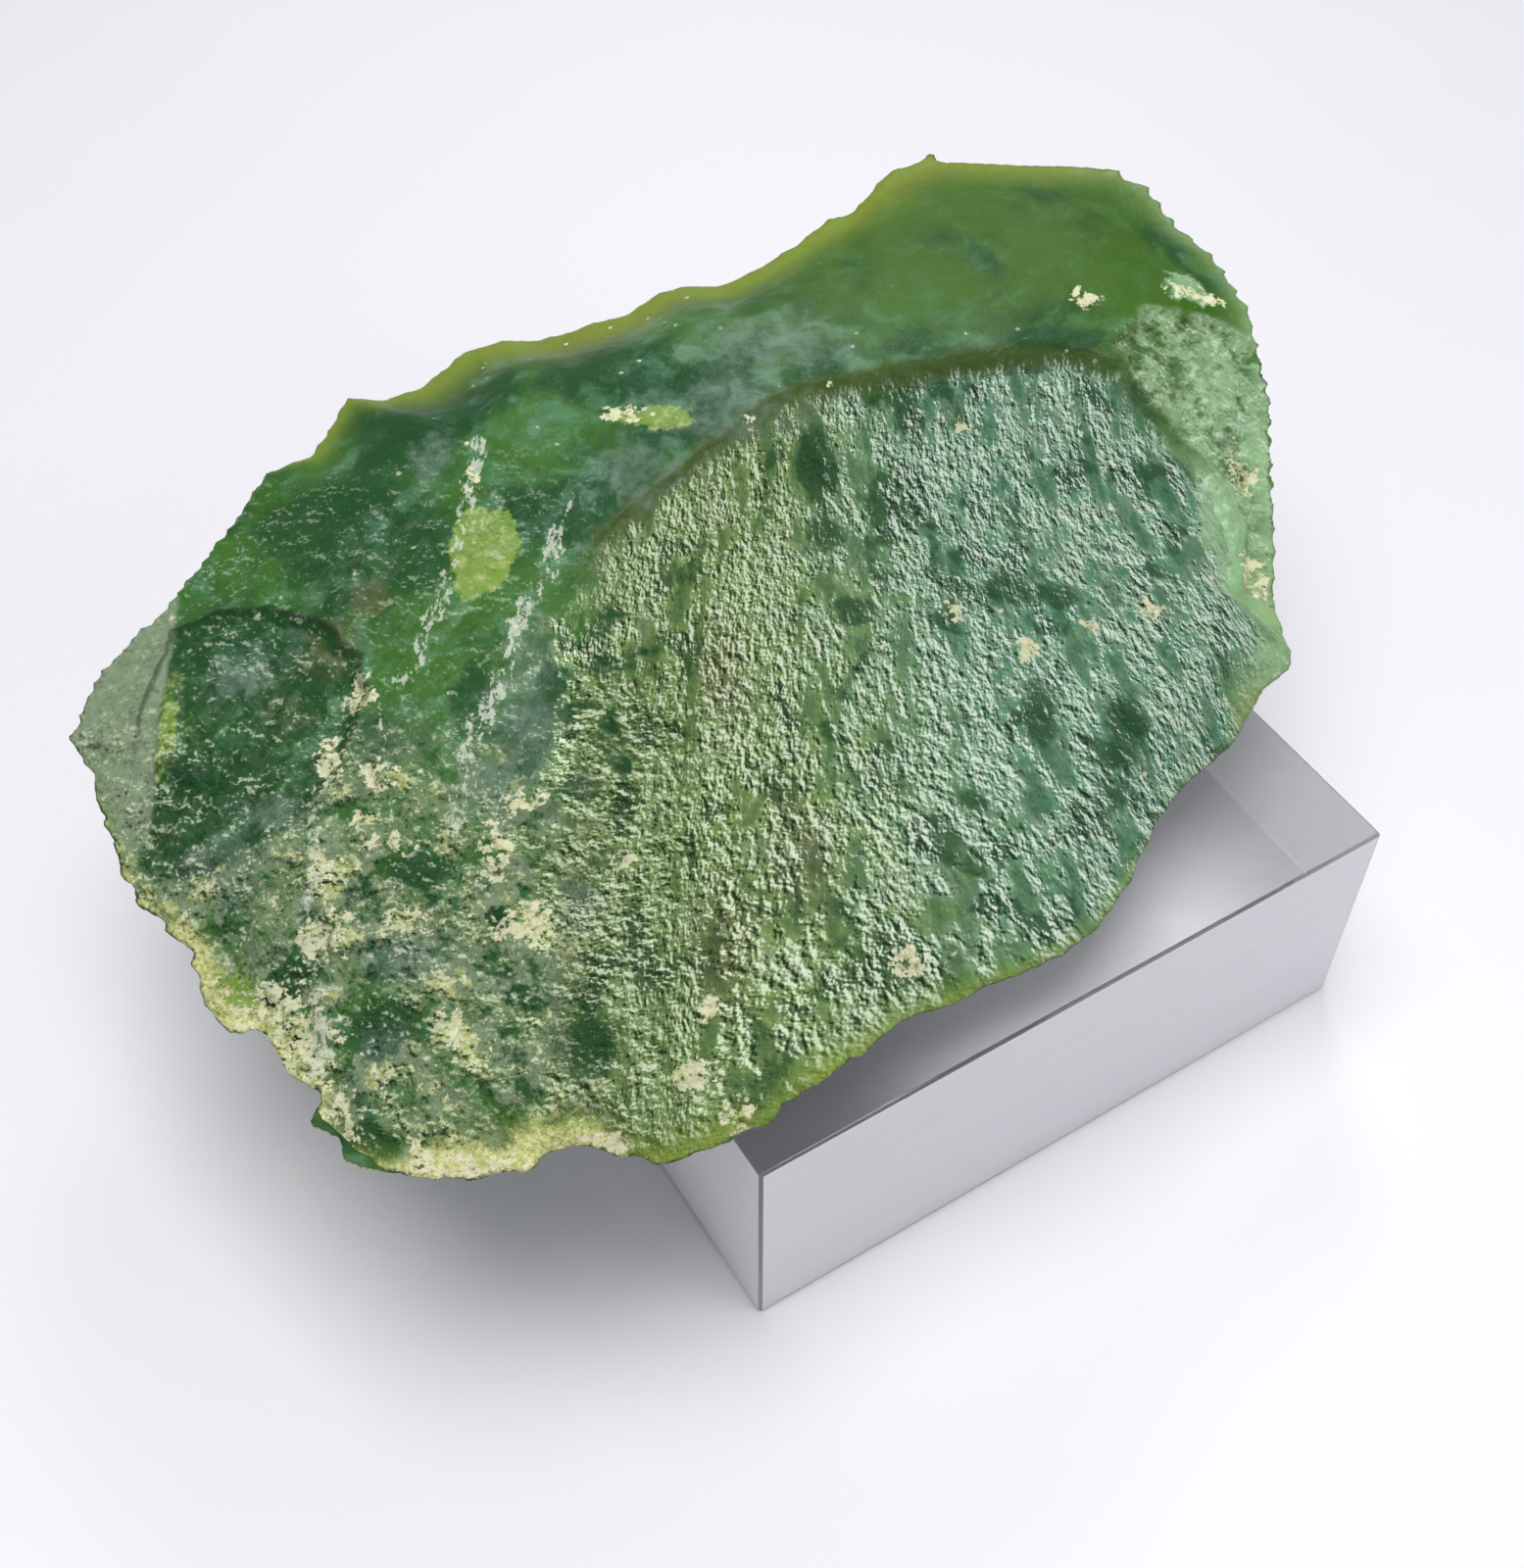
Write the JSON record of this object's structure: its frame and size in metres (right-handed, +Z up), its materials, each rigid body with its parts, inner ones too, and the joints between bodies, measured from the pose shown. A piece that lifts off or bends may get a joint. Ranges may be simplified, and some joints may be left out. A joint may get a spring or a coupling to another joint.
{
  "type": "raw jade boulder on a display block",
  "caption": "Rough broken slab of green nephrite jade with one wide fibrous face and thin translucent edges, resting tilted on a clear square display block.",
  "frame": {"origin": "centre of the display block's underside", "axes": "+Z up; +X and +Y along the block's square sides, +X along the side in front of the viewer towards their right, +Y away from it"},
  "size_m": [0.1485, 0.1035, 0.0579],
  "materials": {
    "jade": "freshly broken nephrite: mottled dark to yellow green, waxy, fibrous, translucent at thin edges",
    "acrylic": "clear polished cast acrylic"
  },
  "bodies": {
    "root": {"stone": "jade", "display_block": "acrylic"}
  },
  "joints": []
}
